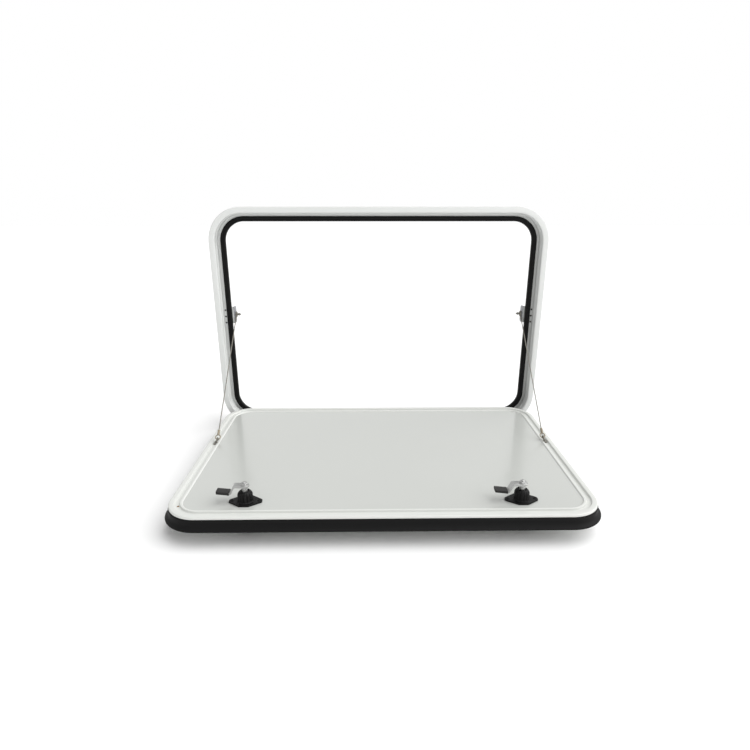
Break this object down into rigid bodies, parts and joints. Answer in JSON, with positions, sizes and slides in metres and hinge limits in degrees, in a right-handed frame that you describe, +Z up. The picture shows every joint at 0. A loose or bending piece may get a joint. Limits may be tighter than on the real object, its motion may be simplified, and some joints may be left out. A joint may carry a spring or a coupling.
{
  "type": "bottom-hinged storage hatch for a camper wall",
  "caption": "Rounded storage hatch for a camper wall: a white frame with a rubber seal and a fold-down sandwich door that hangs on wire stays and closes with turning cam latches.",
  "frame": {"origin": "middle of the lower rail's flange, on its back face against the wall", "axes": "+X right, +Y into the vehicle, +Z up"},
  "size_m": [0.75, 0.542, 0.51],
  "materials": {
    "white_aluminium": "white powder coat, semi-gloss",
    "white_panel": "glossy off-white panel skin",
    "black_rubber": "matt extruded rubber",
    "black_plastic": "moulded black plastic",
    "hinge_steel": "white painted steel",
    "bracket_steel": "grey-white painted steel",
    "zinc_steel": "zinc-plated steel",
    "wire_steel": "stranded stainless wire",
    "ferrule_metal": "dull crimped metal"
  },
  "bodies": {
    "frame": {"outer_frame": "white_aluminium", "frame_seal": "black_rubber", "hinge_frame_leaf": "hinge_steel", "hinge_pin": "hinge_steel", "stay_bracket_left": "bracket_steel", "stay_screw_left": "zinc_steel", "stay_nut_left": "zinc_steel", "stay_lug_left": "zinc_steel", "stay_cable_left": "wire_steel", "stay_bracket_right": "bracket_steel", "stay_screw_right": "zinc_steel", "stay_nut_right": "zinc_steel", "stay_lug_right": "zinc_steel", "stay_cable_right": "wire_steel"},
    "door": {"door_ring": "white_aluminium", "door_edge_trim": "black_rubber", "door_panel": "white_panel", "hinge_door_leaf": "hinge_steel", "stay_ferrule_left": "ferrule_metal", "stay_hook_left": "zinc_steel", "latch_housing_left": "black_plastic", "latch_bezel_left": "black_plastic", "stay_ferrule_right": "ferrule_metal", "stay_hook_right": "zinc_steel", "latch_housing_right": "black_plastic", "latch_bezel_right": "black_plastic"},
    "latch_left": {"latch_spindle_left": "zinc_steel", "latch_cam_left": "zinc_steel", "latch_sleeve_left": "black_rubber", "latch_nut_left": "zinc_steel", "latch_knob_left": "black_plastic"},
    "latch_right": {"latch_spindle_right": "zinc_steel", "latch_cam_right": "zinc_steel", "latch_sleeve_right": "black_rubber", "latch_nut_right": "zinc_steel", "latch_knob_right": "black_plastic"}
  },
  "joints": [
    {"name": "door_hinge", "type": "hinge", "parent": "frame", "child": "door", "pos_m": [0, -0.0145, 0.0135], "axis": [-1, 0, 0], "range_deg": [0, 90], "deforming": ["stay_cable_left", "stay_cable_right"]},
    {"name": "latch_left_turn", "type": "hinge", "parent": "door", "child": "latch_left", "pos_m": [-0.229, -0.437, 0.043], "axis": [0, 0, 1], "range_deg": [0, 90]},
    {"name": "latch_right_turn", "type": "hinge", "parent": "door", "child": "latch_right", "pos_m": [0.229, -0.437, 0.043], "axis": [0, 0, 1], "range_deg": [0, 90]}
  ]
}
